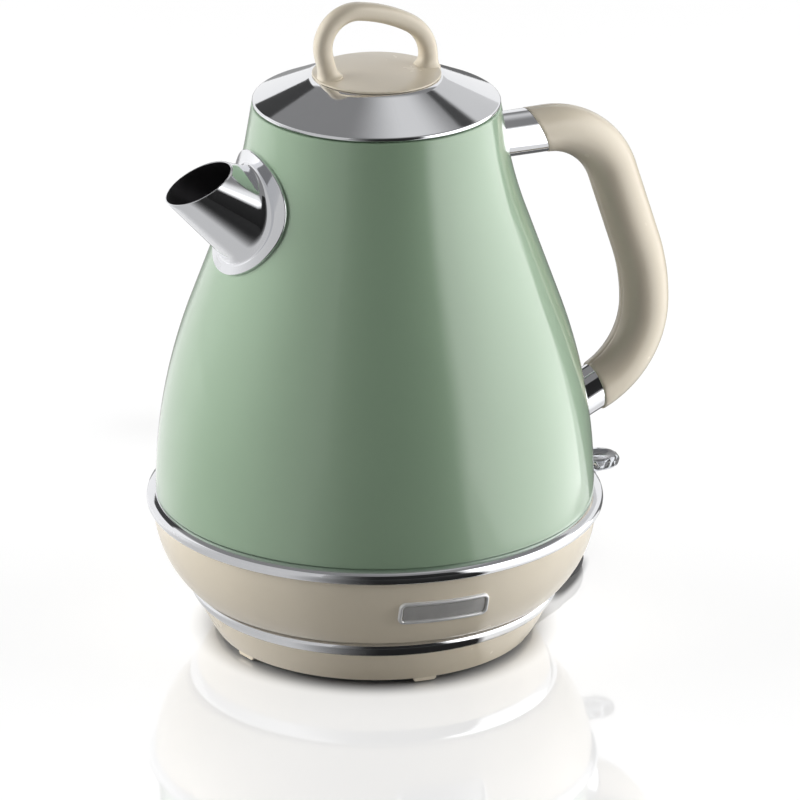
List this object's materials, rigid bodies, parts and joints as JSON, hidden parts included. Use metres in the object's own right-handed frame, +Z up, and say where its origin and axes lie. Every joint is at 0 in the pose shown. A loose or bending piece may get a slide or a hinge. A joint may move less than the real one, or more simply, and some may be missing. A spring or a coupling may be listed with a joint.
{
  "type": "electric kettle",
  "caption": "Cordless electric kettle with a tapered pot, curved side handle, conical spout and lift-off lid, standing on a round power base with a mains cord.",
  "frame": {"origin": "on the table, on the upright axis that the power base and the pot share", "axes": "+Z up, +X towards the handle, -X towards the spout, the badge on the -Y side"},
  "size_m": [0.2085, 0.3112, 0.2495],
  "materials": {
    "green_paint": "gloss enamel",
    "cream_plastic": "gloss moulded",
    "chrome": "mirror polished",
    "clear_plastic": "clear moulded",
    "steel": "bare",
    "aluminium": "bare",
    "brass": "bare",
    "dark_plastic": "moulded",
    "white_plastic": "moulded",
    "cord_jacket": "smooth jacket",
    "rubber": "moulded",
    "pale_rubber": "silicone",
    "badge_panel": "bare panel",
    "lamp": "clear"
  },
  "bodies": {
    "power_base": {"base_shell": "cream_plastic", "base_trim_ring": "chrome", "base_plate": "dark_plastic", "base_feet": "rubber", "base_screws": "steel", "base_connector": "dark_plastic", "base_centre_contact": "brass", "base_ring_contact": "brass", "terminal_block": "white_plastic", "base_wires": "cord_jacket", "inner_lead_cord": "cord_jacket", "strain_relief": "rubber", "cord_lead": "cord_jacket", "cord_coil": "cord_jacket", "cord_tie": "rubber", "cord_tail": "cord_jacket", "plug_body": "dark_plastic", "plug_pins": "brass", "plug_earth_clips": "brass"},
    "socket": {"socket_housing": "dark_plastic", "socket_pin": "brass", "socket_ring": "brass"},
    "kettle": {"body_shell": "green_paint", "spout": "chrome", "upper_trim_ring": "chrome", "skirt": "cream_plastic", "badge_frame": "chrome", "badge_field": "badge_panel", "heater_plate": "steel", "element_diffuser": "aluminium", "heating_element": "steel", "control_housing": "dark_plastic", "bottom_cover": "dark_plastic", "cover_screws": "steel", "switch_housing": "white_plastic", "bimetal_disc": "steel", "steam_tube": "white_plastic", "lever_pin": "steel", "pilot_lamp": "lamp", "handle_shell_left": "cream_plastic", "handle_shell_right": "cream_plastic", "handle_core": "steel", "upper_ferrule": "chrome", "lower_ferrule": "chrome", "handle_screws": "steel", "handle_seals": "pale_rubber"},
    "lid": {"lid_shell": "chrome", "lid_liner": "steel", "lid_gasket": "pale_rubber", "lid_handle": "cream_plastic", "lid_screws": "steel"},
    "filter": {"filter_frame": "white_plastic", "filter_mesh": "steel"},
    "switch_lever": {"switch_lever": "clear_plastic"}
  },
  "joints": [
    {"name": "kettle_lift", "type": "slide", "parent": "power_base", "child": "socket", "axis": [0, 0, 1], "range_m": [0, 0.12]},
    {"name": "kettle_swivel", "type": "hinge", "parent": "socket", "child": "kettle", "pos_m": [0, 0, 0.03], "axis": [0, 0, 1], "continuous": true},
    {"name": "lid_lift", "type": "slide", "parent": "kettle", "child": "lid", "axis": [0, 0, 1], "range_m": [0, 0.12]},
    {"name": "filter_pull", "type": "slide", "parent": "kettle", "child": "filter", "axis": [0.9379, 0, -0.3469], "range_m": [0, 0.02]},
    {"name": "lever_press", "type": "hinge", "parent": "kettle", "child": "switch_lever", "pos_m": [0.068, 0, 0.0522], "axis": [0, 1, 0], "range_deg": [0, 12]}
  ]
}
